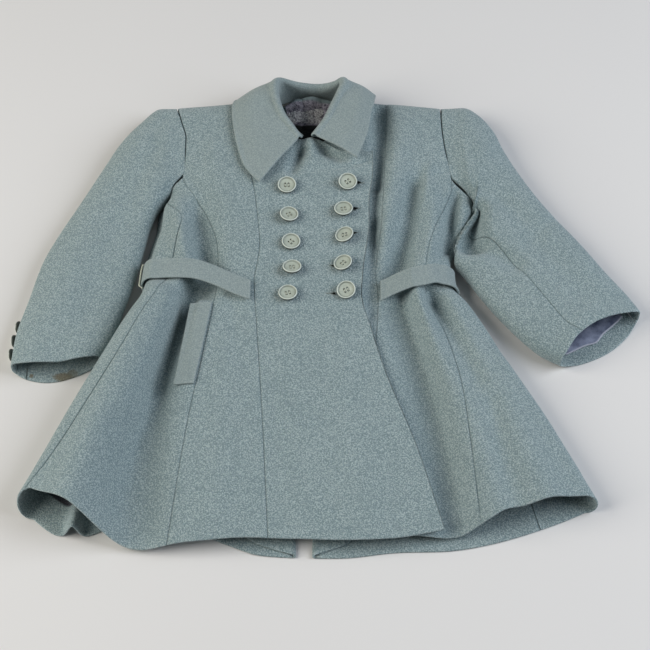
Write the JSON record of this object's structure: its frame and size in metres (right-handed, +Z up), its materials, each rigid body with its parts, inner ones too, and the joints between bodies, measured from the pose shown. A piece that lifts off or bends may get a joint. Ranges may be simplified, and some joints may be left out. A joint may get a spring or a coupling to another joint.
{
  "type": "coat",
  "caption": "Child's double-breasted princess coat with pointed collar, half belts and flared skirt, laid face up on a flat surface.",
  "frame": {"origin": "on the table, under the middle of the coat's bounding box", "axes": "+Y from the hem to the collar, +Z up off the table, +X towards the wearer's left sleeve"},
  "size_m": [0.6256, 0.5702, 0.0509],
  "materials": {
    "crepe": "matt pebbled wool crepe, dusty blue-green",
    "lining": "smooth lining, grey-blue",
    "label": "plain woven tape, bare",
    "thread": "twisted thread, pale",
    "button": "pale grey-green, satin, slightly translucent"
  },
  "bodies": {
    "root": {"front_right_overlap": "crepe", "front_right": "crepe", "side_front_right": "crepe", "front_left_underlap": "crepe", "front_left": "crepe", "side_front_left": "crepe", "back": "crepe", "top_sleeve_right": "crepe", "under_sleeve_right": "crepe", "top_sleeve_left": "crepe", "under_sleeve_left": "crepe", "collar": "crepe", "half_belt_right": "crepe", "half_belt_left": "crepe", "pocket_welt": "crepe", "belt_carrier": "thread", "neck_lining": "lining", "neck_label": "label", "cuff_lining_left": "lining", "button_right_1": "button", "button_right_2": "button", "button_right_3": "button", "button_right_4": "button", "button_right_5": "button", "button_left_1": "button", "button_left_2": "button", "button_left_3": "button", "button_left_4": "button", "button_left_5": "button", "cuff_button_1": "button", "cuff_button_2": "button", "cuff_button_3": "button"}
  },
  "joints": []
}
